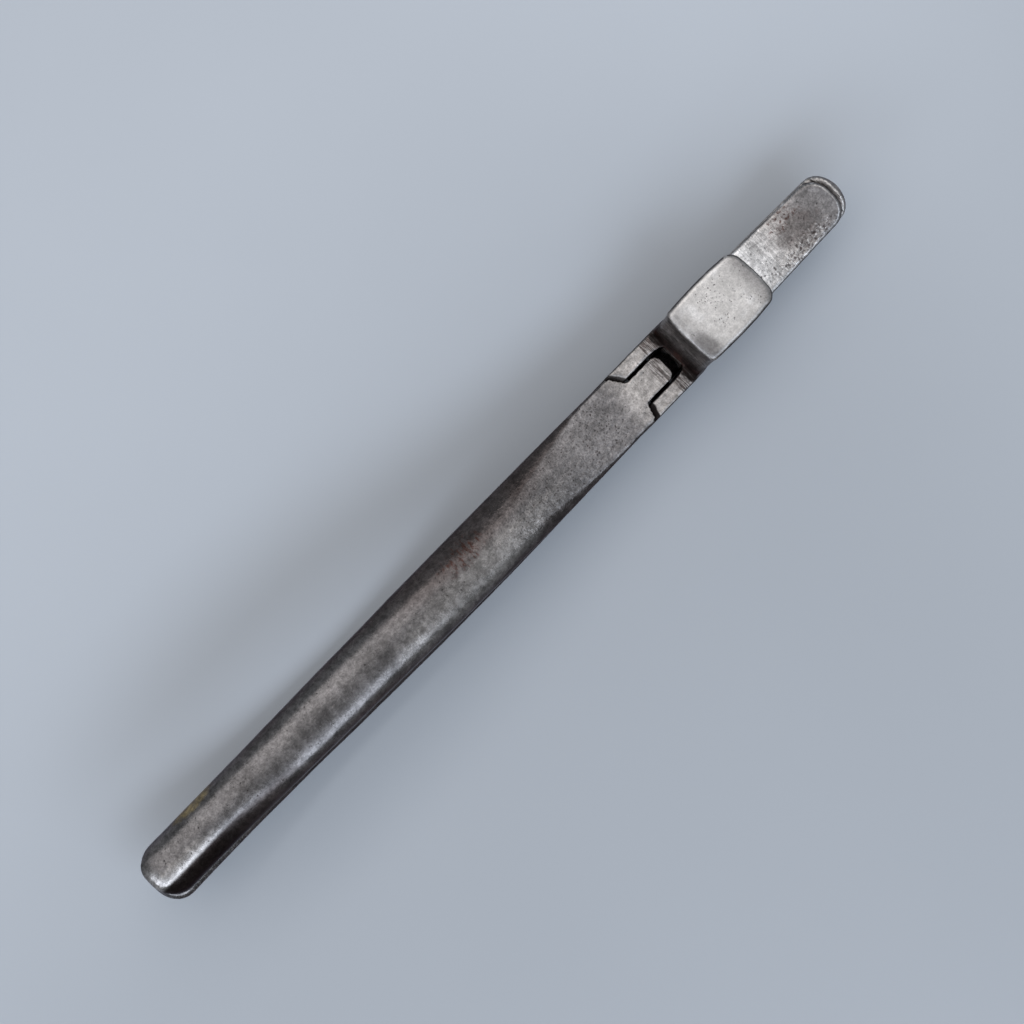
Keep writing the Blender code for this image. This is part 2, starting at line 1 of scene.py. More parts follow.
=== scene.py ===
"""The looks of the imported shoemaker's pincers: dense worn-steel pieces, floor, light and camera.

Places on the tool are in its own frame, in millimetres: X from the rivet to the jaw tips, Y along the
rivet and Z towards the hammer face. The camera, the lights and the floor's size are in metres, in the
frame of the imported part.
"""
import json
import math

import bmesh
import bpy
import numpy as np
from mathutils import Matrix, Vector, noise


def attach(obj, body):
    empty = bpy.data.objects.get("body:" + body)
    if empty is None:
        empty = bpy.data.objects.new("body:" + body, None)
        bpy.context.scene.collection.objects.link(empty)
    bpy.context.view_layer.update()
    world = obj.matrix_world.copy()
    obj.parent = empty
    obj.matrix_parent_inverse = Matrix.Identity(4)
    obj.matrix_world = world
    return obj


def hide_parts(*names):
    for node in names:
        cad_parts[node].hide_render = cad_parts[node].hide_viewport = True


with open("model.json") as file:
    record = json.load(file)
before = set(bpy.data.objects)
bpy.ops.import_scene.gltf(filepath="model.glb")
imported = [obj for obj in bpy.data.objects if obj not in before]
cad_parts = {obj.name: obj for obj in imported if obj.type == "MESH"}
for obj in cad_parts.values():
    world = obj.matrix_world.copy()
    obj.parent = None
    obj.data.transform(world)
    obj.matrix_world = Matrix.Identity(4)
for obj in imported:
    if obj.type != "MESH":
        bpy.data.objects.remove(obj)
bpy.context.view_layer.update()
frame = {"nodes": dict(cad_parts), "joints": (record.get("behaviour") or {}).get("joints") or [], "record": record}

MM = 0.001

# The tool's own frame
MOUNTS = {mount["name"]: mount for mount in frame["record"]["mounts"]}
PIVOT = Vector(frame["joints"][0]["pos_m"])
FACE_AXIS = Vector(MOUNTS["hammer_face"]["axis"])
PITCH = math.atan2(FACE_AXIS.x, FACE_AXIS.z)
TO_TOOL = Matrix.Scale(1 / MM, 4) @ Matrix.Rotation(-PITCH, 4, "Y") @ Matrix.Translation(-PIVOT)

# Camera, straight above the tool, with its sensor in millimetres
IMAGE_SIZE = 1024
SENSOR_WIDTH = 36.0
FOCAL_PIXELS = 2386.0
CAMERA_HEIGHT = 0.55
CAMERA_SHIFT = (-0.0426, 0.00155)
CAMERA_TURN = math.radians(-45.84)

# World and softboxes: name, place, target, size, power and colour
WORLD_COLOUR = (0.86, 0.93, 1.0, 1)
WORLD_STRENGTH = 0.42
ROOM_WHITE = (1.0, 0.98, 0.98)
SOFTBOXES = (
    ("overhead", (0.0, 0.0, 1.5), (0, 0, 0), (2.4, 2.4), 5.1, ROOM_WHITE),
    ("ceiling", (0.0, 0.46, 1.36), (0, 0, 0), (2.4, 0.78), 7.0, ROOM_WHITE),
    ("window", (-0.85, -0.82, 1.16), (-0.85, 0, 0), (2.5, 0.50), 14.9, (0.76, 0.86, 1.0)),
    ("side", (-1.50, -0.14, 0.95), (0, 0, 0), (0.6, 0.6), 4.2, (0.80, 0.88, 1.0)),
)

# Floor: its paint, and the painted shade and light across it along Y and X, as (from, to, shade at from, shade at
# to)
FLOOR_SIZE = 8.0
FLOOR_PAINT = ((0.480, 0.503, 0.535), (0.500, 0.523, 0.555))
FLOOR_CLOUD = 60.0
FLOOR_SHADE_Y = (120.0, -60.0, 0.93, 0.75)
FLOOR_SHADE_X = (0.0, 110.0, 1.0, 1.14)

# Dense meshes, with voxels, waves and raggedness in millimetres
VOXEL = 0.31
WELD_DISTANCE = 0.002 * MM
SHRINK_STEP = 0.50
SWELL_STEP = 0.53
SMOOTH_ROUNDS = 30
SOFTEN_ROUNDS = 60
LONG_WAVE = 9.0
SHORT_WAVE = 2.2
GAP_WAVE = 1.1
GAP_RAGGEDNESS = 0.10

# How the meshes change along the tool, as (places in X, values there); GAP_ACROSS has places beside it
FACET_SMOOTHING = ((-14, 32), (0.55, 0.65))
HANDLE_SOFTENING = ((-153, -146, -72, -45), (0.0, 1.0, 1.0, 0.0))
LONG_WAVE_DEPTH = ((-40, -12, 12, 32), (0.07, 0.015, 0.010, 0.025))
SHORT_WAVE_DEPTH = ((-40, -12, 12, 32), (0.020, 0.012, 0.006, 0.012))
GAP_ALONG = ((-12, -9, 4, 7), (0, 1, 1, 0))
GAP_ACROSS = ((2.2, 2.8, 5.0), (0.0, 1.0, 0.6))

# Colours of the steel from bright to black, then of rust, of a straw stain and of grazing reflections
# Some of the steel colours are also laid as painted highlights and painted shade
POLISH_AND_HIGHLIGHT = (0.75, 0.73, 0.72)
BRIGHT = (0.55, 0.525, 0.505)
FILED_AND_HIGHLIGHT = (0.43, 0.40, 0.38)
GREY = (0.21, 0.197, 0.195)
WORN_AND_SHADE = (0.132, 0.124, 0.123)
SATIN = (0.105, 0.090, 0.086)
PATINA_AND_SHADE = (0.076, 0.060, 0.056)
GRIME_AND_SHADE = (0.035, 0.024, 0.022)
SOOT_AND_SHADE = (0.012, 0.008, 0.007)
RUST = (0.070, 0.033, 0.026)
STRAW = (0.36, 0.27, 0.13)
EDGE_TINT = (0.55, 0.53, 0.55, 1)

# Darkest and lightest shade of the mottling, the spots and the grain
MOTTLED = (0.80, 1.16)
SPOTTED = (0.78, 1.16)
GRAINY = (0.70, 1.26)

# Relief, in millimetres
FILE_MARK_DEPTH = 0.02
PIT_DEPTH = 0.02
SMALL_PIT_DEPTH = 0.016
GRAIN_HEIGHT = 0.012
SCORE_HEIGHT = 0.005
HAMMERED_HEIGHT = 0.15
SPECKLE_HEIGHT = 0.10

# Patches of wear and dirt, and of painted highlights and painted shade, as (centre, reach)
STRAW_PATCH = ((-136.8, 7.0, 16.5), (7.0, 1.5, 6.0))
HANDLE_RUST = ((-58.4, 2.8, 16.0), (8.0, 4.0, 8.0))
GRIP_TOP = ((-103.0, 4.0, 15.0), (26.0, 4.2, 9.0))
GRIP_EDGE = ((-103.0, -5.4, 12.0), (16.0, 2.2, 9.0))
DULL_SHADED_GRIP = ((-124.0, -3.6, 15.0), (17.0, 3.5, 9.0))
BUTT_RIDGE_HIGHLIGHT = ((-147.0, -0.3, 16.5), (15.0, 2.3, 5.0))
BUTT_END_HIGHLIGHT = ((-155.0, 0.8, 14.0), (4.0, 5.0, 7.0))
WAIST_LEFT = ((-61.0, 4.8, 14.0), (46.0, 6.0, 9.0))
WAIST_RIGHT_LIGHT = ((-65.0, -2.9, 14.0), (42.0, 4.8, 10.0))
BUTT_SPECKS = ((-149.0, -6.4, -12.0), (18.0, 4.0, 9.0))
LEFT_NOTCH_SHADE = ((6.1, 5.4, 10.2), (1.5, 3.2, 3.0))
RIGHT_NOTCH_SHADE = ((5.8, -5.6, 10.2), (1.8, 3.2, 3.0))
FACE_SMUDGE = ((10.2, -3.9, 22.5), (3.6, 5.2, 3.0))
FACE_PITS = (
    ((18.2, 4.0, 22.5), (4.0, 4.6, 3.0)),
    ((17.2, -1.6, 22.5), (2.6, 3.4, 3.0)),
    ((25.2, -3.6, 22.5), (1.6, 1.5, 2.0)),
)
JAW_RUST = ((45.5, 3.8, 9.5), (6.5, 3.0, 5.0))
JAW_SMUDGE = ((46.5, 0.2, 9.5), (9.5, 3.7, 5.0))
JAW_ROOT_PITS = ((33.5, -2.6, 7.5), (4.0, 2.4, 4.0))
JAW_SIDE_PITS = ((45.0, -4.0, 9.5), (13.0, 2.8, 6.0))

# Where layers ease in, from the first place to the second. The places are in X, or in Y or Z where a
# name ends so, and BESIDE is Y to either side. First the layers on every piece, and the rivet's own
HANDLE = (-14.0, -22.0)
EDGE_WEAR = (-24.0, -14.0)
RIVET_SHANK_BESIDE = (6.8, 6.6)

# Where layers on the tongue arm ease in
GREY_BUTT = (-105.0, -140.0)
BLACK_BUTT = (-116.0, -140.0)
BLACK_BUTT_Y = (-1.0, -2.0)
FACET = (-62.0, -26.0)
HAMMERED_FROM = (-58.0, -40.0)
HAMMERED_TO = (-7.0, -13.0)
TONGUE = (-12.0, -5.0)
TONGUE_NOSE = (-1.0, 1.2)
TONGUE_WALL_BESIDE = (4.4, 3.9)
JOINT_FROM = (-13.0, -11.0)
JOINT_TO = (13.0, 11.0)
LOWER_JAW = (22.0, 34.0)
LOWER_LIP = (28.0, 32.0)
LOWER_LIP_Y = (6.0, 6.3)
LOWER_RIM = (36.0, 40.0)
LOWER_BITE = (40.0, 44.0)

# Where layers on the hammer arm ease in; SLOT_REACH is measured from the rivet's axis
BOX = (-16.0, -6.0)
BOX_SIDES = (-14.0, -9.0)
CHEEK_MARKS_FROM = (1.2, 2.4)
CHEEK_MARKS_TO = (8.2, 7.0)
SLOT_REACH = (12.4, 12.0)
SLOT_BESIDE = (4.0, 3.8)
SEAT_BESIDE = (3.4, 3.6)
SEAT_SOOT_Y = (-1.0, 1.0)
SCOOP_Z = (10.0, 10.6)
SCOOP_LIGHT_Z = (11.4, 15.2)
WORKED_EDGES_AND_HIGHLIGHT = (7.0, 9.0)
FACE_Z = (20.5, 21.8)
FACE_REAR_SHADE = (14.5, 9.6)
FACE_FRONT_SHADE = (23.5, 29.3)
UPPER_JAW = (29.0, 30.0)
JAW_HIGHLIGHT_FADE = (33.0, 47.0)
JAW_GREY = (42.0, 51.0)
JAW_TIP_SHADE_AND_WEAR = (48.0, 53.0)
UPPER_RIM = (42.0, 47.0)

# Bands across the tool, as (from, to, width of the soft edges)
ROOT_BAND = (-40.0, -18.0, 4.0)
SEAT_BAND = (-14.0, -3.5, 0.5)
SCOOP_BAND = (4.2, 10.5, 0.5)
FOOT_BAND = (4.6, 7.6, 0.8)
FOOT_BAND_Z = (10.2, 11.0, 0.8)
FACE_BAND = (8.0, 32.0, 0.5)
JAW_MARKS_BAND = (37.0, 44.0, 6.0)

# Where the ground top of the tongue arm runs out into its flanks: Y per X, and the Y beside the rivet
LEFT_WEDGE_SLOPE = 0.163
LEFT_WEDGE_Y = (9.5, 10.1)
RIGHT_WEDGE_SLOPE = -0.107
RIGHT_WEDGE_Y = (-8.9, -9.5)

# Noise: how far an offset moves it along each axis. Patches: the full middle, as a share of their reach
NOISE_SHIFT = (1.0, 1.7, 0.6)
PATCH_CORE = 0.45

# Pits: the warp of their grid and its size as shares of the pitch, the offset of its noise, the smallest
# pit as a share of the largest, and the flat floor as a share of a pit's radius
PIT_WARP = 0.9
PIT_WARP_SIZE = 0.7
PIT_WARP_OFFSET = 3.1
SMALLEST_PIT = 0.45
PIT_FLOOR = 0.35

# Sockets of a Mix node that blends colours
MIX_SHARE, MIX_START, MIX_END, MIX_RESULT = 0, 6, 7, 2


def link(piece):
    bpy.context.scene.collection.objects.link(piece)
    return piece


# Meshes

def applied(piece):
    """Replaces a piece's mesh by what its modifiers make of it."""
    shaped = piece.evaluated_get(bpy.context.evaluated_depsgraph_get())
    mesh = bpy.data.meshes.new_from_object(shaped)
    piece.modifiers.clear()
    piece.data = mesh
    return piece


def dense_copy(node, name):
    """One even, fine mesh with the shape of a CAD solid. Its grid lies along the tool's own axes."""
    welded = bmesh.new()
    welded.from_mesh(frame["nodes"][node].data)
    bmesh.ops.remove_doubles(welded, verts=welded.verts, dist=WELD_DISTANCE)
    mesh = bpy.data.meshes.new(name)
    welded.to_mesh(mesh)
    welded.free()
    mesh.transform(TO_TOOL)
    piece = link(bpy.data.objects.new(name, mesh))
    even = piece.modifiers.new("even", "REMESH")
    even.mode = "VOXEL"
    even.voxel_size = VOXEL
    applied(piece).data.transform(TO_TOOL.inverted())
    return piece


def read_points(mesh):
    points = np.empty(len(mesh.vertices) * 3)
    mesh.vertices.foreach_get("co", points)
    return points.reshape(-1, 3)


def tool_points(mesh):
    turned = read_points(mesh) @ np.array(TO_TOOL.to_3x3()).T
    return turned + np.array(TO_TOOL.translation)


def smooth(mesh, share, steps):
    """Moves each vertex by its share of every step towards the middle of its neighbours."""
    points = read_points(mesh)
    count = len(points)
    ends = np.empty(len(mesh.edges) * 2, int)
    mesh.edges.foreach_get("vertices", ends)
    first, second = ends.reshape(-1, 2).T
    neighbours = np.bincount(ends, minlength=count)
    for step in steps:
        for axis in range(3):
            line = points[:, axis]
            total = np.bincount(first, line[second], count) + np.bincount(second, line[first], count)
            points[:, axis] = line + step * share * (total / neighbours - line)
    mesh.vertices.foreach_set("co", points.ravel())
    mesh.update()


def forge(mesh, depth, length):
    """Pushes the surface in and out, as hammering and wear do. Depth is per vertex, in millimetres."""
    places = tool_points(mesh) / length
    waves = np.array([noise.noise(place) for place in places])
    normals = np.empty(len(waves) * 3)
    mesh.vertices.foreach_get("normal", normals)
    points = read_points(mesh) + normals.reshape(-1, 3) * (waves * depth * MM)[:, None]
    mesh.vertices.foreach_set("co", points.ravel())
    mesh.update()


def steel_piece(node, body, material):
    """Stands a dense copy in for a node: facets smoothed, handles worn round, the joint's gaps ragged."""
    piece = dense_copy(node, node + "_steel")
    mesh = piece.data
    x, y, _ = tool_points(mesh).T
    smooth(mesh, np.interp(x, *FACET_SMOOTHING), (SHRINK_STEP, -SWELL_STEP) * SMOOTH_ROUNDS)
    smooth(mesh, np.interp(x, *HANDLE_SOFTENING), (SHRINK_STEP,) * SOFTEN_ROUNDS)
    forge(mesh, np.interp(x, *LONG_WAVE_DEPTH), LONG_WAVE)
    forge(mesh, np.interp(x, *SHORT_WAVE_DEPTH), SHORT_WAVE)
    gap = np.interp(x, *GAP_ALONG) * np.interp(np.abs(y), *GAP_ACROSS)
    forge(mesh, GAP_RAGGEDNESS * gap, GAP_WAVE)
    mesh.shade_smooth()
    mesh.materials.clear()
    mesh.materials.append(material)
    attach(piece, body)
    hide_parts(node)


# Materials

class Surface:
    """A finish, built up in layers. A value is a number, a colour or another node's output."""

    def __init__(self, name):
        self.material = bpy.data.materials.new(name)
        self.material.use_nodes = True
        self.tree = self.material.node_tree
        self.tree.nodes.clear()
        source = self.add("ShaderNodeTexCoord")
        mapping = self.add("ShaderNodeMapping", {"Vector": source.outputs["Object"]})
        mapping.inputs["Location"].default_value = TO_TOOL.translation
        mapping.inputs["Rotation"].default_value = (0, -PITCH, 0)
        mapping.inputs["Scale"].default_value = (1 / MM,) * 3
        self.place = mapping.outputs[0]
        self.x, self.y, self.z = self.split(self.place)
        self.facing_x, self.facing_y, self.facing_z = self.split(source.outputs["Normal"])
        self.edge = self.add("ShaderNodeNewGeometry").outputs["Pointiness"]
        self.colour = WORN_AND_SHADE
        self.rough = 0.4
        self.height = 0.0

    def add(self, kind, inputs=None, **settings):
        node = self.tree.nodes.new(kind)
        for key, value in settings.items():
            setattr(node, key, value)
        for key, value in (inputs or {}).items():
            self.feed(node.inputs[key], value)
        return node

    def feed(self, socket, value):
        if isinstance(value, bpy.types.NodeSocket):
            self.tree.links.new(value, socket)
        elif isinstance(value, tuple) and len(value) == 3 and socket.type == "RGBA":
            socket.default_value = (*value, 1)
        else:
            socket.default_value = value

    def split(self, vector):
        return self.add("ShaderNodeSeparateXYZ", {"Vector": vector}).outputs

    def math(self, operation, *values):
        return self.add("ShaderNodeMath", dict(enumerate(values)), operation=operation).outputs[0]

    def times(self, *values):
        total = values[0]
        for value in values[1:]:
            total = self.math("MULTIPLY", total, value)
        return total

    def plus(self, *values):
        total = values[0]
        for value in values[1:]:
            total = self.math("ADD", total, value)
        return total

    def less(self, value, other):
        return self.math("SUBTRACT", value, other)

    def flipped(self, value):
        return self.less(1.0, value)

    def centred(self, value):
        """Noise moved so that its middle is zero."""
        return self.less(value, 0.5)

    def step(self, value, low, high, start=0.0, end=1.0):
        """Eases from start to end while value goes from low to high."""
        inputs = {"Value": value, "From Min": low, "From Max": high, "To Min": start, "To Max": end}
        return self.add("ShaderNodeMapRange", inputs, interpolation_type="SMOOTHSTEP").outputs[0]

    def band(self, value, low, high, soft):
        return self.times(self.step(value, low - soft, low), self.step(value, high, high + soft, 1.0, 0.0))

    def moved(self, stretch, offset):
        location = tuple(offset * share for share in NOISE_SHIFT)
        inputs = {"Vector": self.place, "Scale": stretch, "Location": location}
        return self.add("ShaderNodeMapping", inputs).outputs[0]

    def clouds(self, size, detail=3.0, roughness=0.55, stretch=(1, 1, 1), offset=0.0, distortion=0.0):
        """Noise whose patches are about size millimetres across. Each offset gives other patches."""
        inputs = {
            "Vector": self.moved(stretch, offset),
            "Scale": 1 / size,
            "Detail": detail,
            "Roughness": roughness,
            "Distortion": distortion,
        }
        return self.add("ShaderNodeTexNoise", inputs).outputs[0]

    def pits(self, pitch, share, radius, offset=0.0):
        """Round specks: one place in every pitch millimetres, of which the given share holds a pit."""
        warp = self.clouds(pitch * PIT_WARP_SIZE, 2.0, offset=offset + PIT_WARP_OFFSET)
        shift = self.times(self.centred(warp), pitch * PIT_WARP)
        inputs = {0: self.moved((1, 1, 1), offset), 1: shift}
        place = self.add("ShaderNodeVectorMath", inputs, operation="ADD").outputs[0]
        cells = self.add("ShaderNodeTexVoronoi", {"Vector": place, "Scale": 1 / pitch})
        chosen, size, _ = self.split(cells.outputs["Color"])
        reach = self.times(self.step(size, 0.0, 1.0, SMALLEST_PIT, 1.0), radius / pitch)
        from_middle = self.math("DIVIDE", cells.outputs["Distance"], reach)
        depth = self.step(from_middle, PIT_FLOOR, 1.0, 1.0, 0.0)
        return self.times(depth, self.math("LESS_THAN", chosen, share))

    def patch(self, place, ragged=0.5, size=1.5):
        """A place, given as (centre, reach), that fades out at its reach along X, Y and Z."""
        centre, reach = place
        away = self.add("ShaderNodeVectorMath", {0: self.place, 1: centre}, operation="SUBTRACT").outputs[0]
        shares = tuple(1 / length for length in reach)
        away = self.add("ShaderNodeVectorMath", {0: away, 1: shares}, operation="MULTIPLY").outputs[0]
        distance = self.add("ShaderNodeVectorMath", {0: away}, operation="LENGTH").outputs["Value"]
        edge = self.times(self.centred(self.clouds(size, 4.0)), 2 * ragged)
        return self.step(self.plus(distance, edge), PATCH_CORE, 1.0, 1.0, 0.0)

    def mix(self, share, start, end, blend="MIX"):
        inputs = {MIX_SHARE: share, MIX_START: start, MIX_END: end}
        node = self.add("ShaderNodeMix", inputs, data_type="RGBA", blend_type=blend)
        return node.outputs[MIX_RESULT]

    def shade(self, factor, share=1.0):
        """Multiplies the colour so far by a grey value."""
        grey = self.add("ShaderNodeCombineColor", {0: factor, 1: factor, 2: factor}).outputs[0]
        self.colour = self.mix(share, self.colour, grey, "MULTIPLY")

    def paint(self, mask, colour, rough=None, share=1.0):
        """Lays a colour, and a roughness if one is given, over the finish as far as mask times share."""
        mask = self.times(mask, share)
        self.colour = self.mix(mask, self.colour, colour)
        if rough is not None:
            self.rough = self.plus(self.times(self.rough, self.flipped(mask)), self.times(mask, rough))

    def raise_by(self, value, height):
        """Adds relief: value times height, in millimetres."""
        self.height = self.plus(self.height, self.times(value, height))

    def finish(self, metallic=1.0):
        bump = self.add("ShaderNodeBump", {"Height": self.height})
        bump.inputs["Strength"].default_value = 1.0
        bump.inputs["Distance"].default_value = MM
        shader = self.add("ShaderNodeBsdfPrincipled")
        shader.inputs["Metallic"].default_value = metallic
        shader.inputs["Specular Tint"].default_value = EDGE_TINT
        self.feed(shader.inputs["Base Color"], self.colour)
        self.feed(shader.inputs["Roughness"], self.rough)
        self.feed(shader.inputs["Normal"], bump.outputs["Normal"])
        output = self.add("ShaderNodeOutputMaterial")
        self.tree.links.new(shader.outputs[0], output.inputs["Surface"])
        return self.material


class Steel(Surface):
    """Forged steel, as all three pieces start: dark patina on the flanks, worn lighter along the ridges."""

    def __init__(self, name):
        super().__init__(name)
        self.cloud = self.clouds(9.0)
        self.blotch = self.clouds(2.6, 4.0, 0.6, offset=11.0, distortion=0.4)
        self.grain = self.clouds(0.38, 3.0, 0.6, offset=23.0)
        self.scores = self.clouds(0.5, 3.0, 0.6, stretch=(0.05, 1.6, 1.6), offset=31.0)
        self.strokes = self.clouds(0.36, 3.0, 0.65, stretch=(1.6, 0.10, 0.4), offset=37.0)
        self.top = self.step(self.facing_z, 0.6, 0.95)
        self.beside = self.math("ABSOLUTE", self.y)
        self.flank = self.math("ABSOLUTE", self.facing_y)
        dark = self.plus(self.flank, self.times(self.centred(self.cloud), 0.35))
        self.colour = self.mix(self.step(dark, 1.0, 0.35), PATINA_AND_SHADE, WORN_AND_SHADE)
        self.rough = self.step(self.blotch, 0.3, 0.7, 0.22, 0.32)

    def file_marks(self, mask, strength):
        """Strokes of a file across the tool."""
        marks = self.times(mask, self.step(self.strokes, 0.40, 0.60))
        self.paint(marks, PATINA_AND_SHADE, share=strength)
        self.raise_by(marks, -FILE_MARK_DEPTH)

    def pitting(self, mask, pitch, strength, share=0.6, radius=0.46):
        """A field of fine dark pits. Their radius is given as a share of the pitch."""
        pits = self.times(mask, self.pits(pitch, share, radius * pitch, 83.0))
        self.paint(pits, PATINA_AND_SHADE, rough=0.6, share=strength)
        self.raise_by(pits, -PIT_DEPTH)

    def weather_and_shade(self, mottling=1.0, graining=1.0):
        """Detail over everything: mottling, spots, grain, pits, bright edges, and dirt with painted shade in the
        corners.
        """
        self.shade(self.step(self.cloud, 0.3, 0.7, *MOTTLED), mottling)
        self.shade(self.step(self.blotch, 0.3, 0.7, *MOTTLED), mottling)
        self.shade(self.step(self.clouds(1.1, 3.0, 0.6, offset=91.0), 0.32, 0.66, *SPOTTED), mottling)
        self.shade(self.step(self.grain, 0.25, 0.75, *GRAINY), graining)
        fields = self.step(self.clouds(7.0, 2.0, offset=41.0), 0.40, 0.62)
        handle_flank = self.times(self.step(self.flank, 0.35, 0.7), self.step(self.x, *HANDLE))
        fields = self.times(fields, self.flipped(handle_flank))
        small = self.times(self.pits(0.75, 0.55, 0.28), fields)
        large = self.times(self.pits(2.8, 0.30, 0.60, 57.0), fields)
        self.paint(small, SOOT_AND_SHADE, rough=0.5, share=0.75)
        self.paint(large, SATIN, rough=0.5, share=0.45)
        self.raise_by(small, -SMALL_PIT_DEPTH)
        self.raise_by(large, -PIT_DEPTH)
        self.raise_by(self.grain, GRAIN_HEIGHT)
        self.raise_by(self.scores, SCORE_HEIGHT)
        worn_edge = self.times(self.step(self.edge, 0.55, 0.64), self.step(self.x, *EDGE_WEAR))
        self.paint(worn_edge, FILED_AND_HIGHLIGHT, rough=0.32, share=0.5)
        # Dirt and painted shade: concave corners are darkened towards black
        self.paint(self.step(self.edge, 0.46, 0.38), SOOT_AND_SHADE, rough=0.7, share=0.7)


def paint_grip(steel):
    """Upper handle: grey wear and painted light on the grip; painted highlights, black painted shade right of the
    butt.
    """
    left_butt = steel.times(steel.step(steel.x, *GREY_BUTT), steel.step(steel.facing_y, 0.35, 0.6))
    steel.paint(left_butt, GREY, share=0.4)
    # A dull, rougher patch, also darkened as painted shade so that the reflection along the grip fades there
    steel.paint(steel.patch(DULL_SHADED_GRIP, 0.2, 6.0), PATINA_AND_SHADE, rough=0.42, share=0.8)
    # Painted highlights: the reflection along the butt's ridge and on its rolled end, laid as bright colour
    for place in (BUTT_RIDGE_HIGHLIGHT, BUTT_END_HIGHLIGHT):
        steel.paint(steel.patch(place, 0.25, 3.0), FILED_AND_HIGHLIGHT, share=0.55)
    # Grey wear where hands rub, also lightened as painted light over the darker band along the grip
    for place in (GRIP_TOP, GRIP_EDGE):
        steel.paint(steel.patch(place, 0.25, 4.0), GREY, share=0.65)
    # Painted shade: the right flank of the butt is painted near black
    black = steel.times(steel.step(steel.x, *BLACK_BUTT), steel.step(steel.y, *BLACK_BUTT_Y))
    steel.paint(black, SOOT_AND_SHADE, share=steel.step(steel.blotch, 0.2, 0.5, 0.7, 0.95))


def paint_ground_top(steel):
    """The flat ground along the arm, with the waist and wedges beside it, and the filed tongue."""
    facet = steel.times(steel.step(steel.x, *FACET), steel.step(steel.facing_z, 0.88, 0.955))
    steel.paint(facet, GREY, rough=0.42, share=0.8)
    # Painted light: the right side of the waist is laid lighter, as where light falls on it
    steel.paint(steel.patch(WAIST_RIGHT_LIGHT, 0.2, 5.0), FILED_AND_HIGHLIGHT, share=0.5)
    steel.paint(steel.patch(WAIST_LEFT, 0.15, 5.0), PATINA_AND_SHADE, share=0.65)
    root = steel.band(steel.x, *ROOT_BAND)
    left_wedge = steel.step(steel.less(steel.y, steel.times(steel.x, LEFT_WEDGE_SLOPE)), *LEFT_WEDGE_Y)
    right_wedge = steel.step(steel.less(steel.y, steel.times(steel.x, RIGHT_WEDGE_SLOPE)), *RIGHT_WEDGE_Y)
    steel.paint(steel.times(root, left_wedge), PATINA_AND_SHADE, share=0.65)
    steel.paint(steel.times(root, right_wedge), PATINA_AND_SHADE, share=0.5)
    tongue = steel.times(steel.step(steel.x, *TONGUE), steel.top)
    steel.paint(tongue, FILED_AND_HIGHLIGHT, rough=0.40)
    behind_joint = steel.times(steel.step(steel.x, *HAMMERED_FROM), steel.step(steel.x, *HAMMERED_TO))
    hammered = steel.times(behind_joint, steel.top)
    steel.pitting(hammered, pitch=0.60, strength=0.75)
    steel.raise_by(steel.times(hammered, steel.clouds(1.0, 3.0, 0.65, offset=47.0)), HAMMERED_HEIGHT)
    marked = steel.step(steel.x, *TONGUE_NOSE, 0.15, 1.0)
    steel.file_marks(steel.times(tongue, marked), strength=0.9)


def paint_stains(steel):
    """The straw stain on the butt and the streaks of rust on the handle."""
    straw = steel.times(steel.patch(STRAW_PATCH, 0.45), steel.step(steel.blotch, 0.25, 0.6, 0.5, 1.0))
    steel.paint(straw, STRAW, rough=0.34, share=0.8)
    streaks = steel.clouds(1.0, 4.0, 0.6, stretch=(1.5, 0.6, 0.8), offset=71.0)
    rusty = steel.times(steel.patch(HANDLE_RUST), steel.step(streaks, 0.47, 0.64, 0.05, 0.92))
    steel.paint(rusty, RUST, rough=0.45)


def paint_lower_jaw(steel):
    steel.paint(steel.step(steel.x, *LOWER_JAW), SATIN, rough=0.42, share=0.6)
    bite = steel.times(steel.step(steel.x, *LOWER_BITE), steel.step(steel.facing_z, 0.2, 0.6))
    steel.paint(bite, FILED_AND_HIGHLIGHT, rough=0.42, share=0.75)
    rim = steel.times(steel.step(steel.x, *LOWER_RIM), steel.step(steel.edge, 0.51, 0.56))
    steel.paint(rim, BRIGHT, rough=0.32)
    upward = steel.step(steel.facing_z, 0.05, 0.3)
    lip = steel.times(steel.step(steel.x, *LOWER_LIP), steel.step(steel.y, *LOWER_LIP_Y), upward)
    steel.paint(lip, FILED_AND_HIGHLIGHT, rough=0.36)


def soot_and_shade_tongue(steel):
    """Black walls along the tongue and black shoulders where it meets the box: dirt with painted shade in the
    gaps.
    """
    # Dirt and painted shade: the walls beside the tongue and its shoulders are painted black
    near_joint = steel.times(steel.step(steel.x, *JOINT_FROM), steel.step(steel.x, *JOINT_TO))
    inside = steel.step(steel.beside, *TONGUE_WALL_BESIDE)
    walls = steel.times(near_joint, steel.step(steel.flank, 0.5, 0.8), inside)
    steel.paint(walls, SOOT_AND_SHADE, rough=0.8, share=0.95)
    seats = steel.times(steel.band(steel.x, *SEAT_BAND), steel.step(steel.facing_x, 0.2, 0.45))
    steel.paint(seats, SOOT_AND_SHADE, rough=0.8, share=0.95)


def tongue_arm_steel():
    steel = Steel("tongue_arm_steel")
    paint_grip(steel)
    paint_ground_top(steel)
    paint_stains(steel)
    paint_lower_jaw(steel)
    steel.weather_and_shade()
    soot_and_shade_tongue(steel)
    return steel.finish()


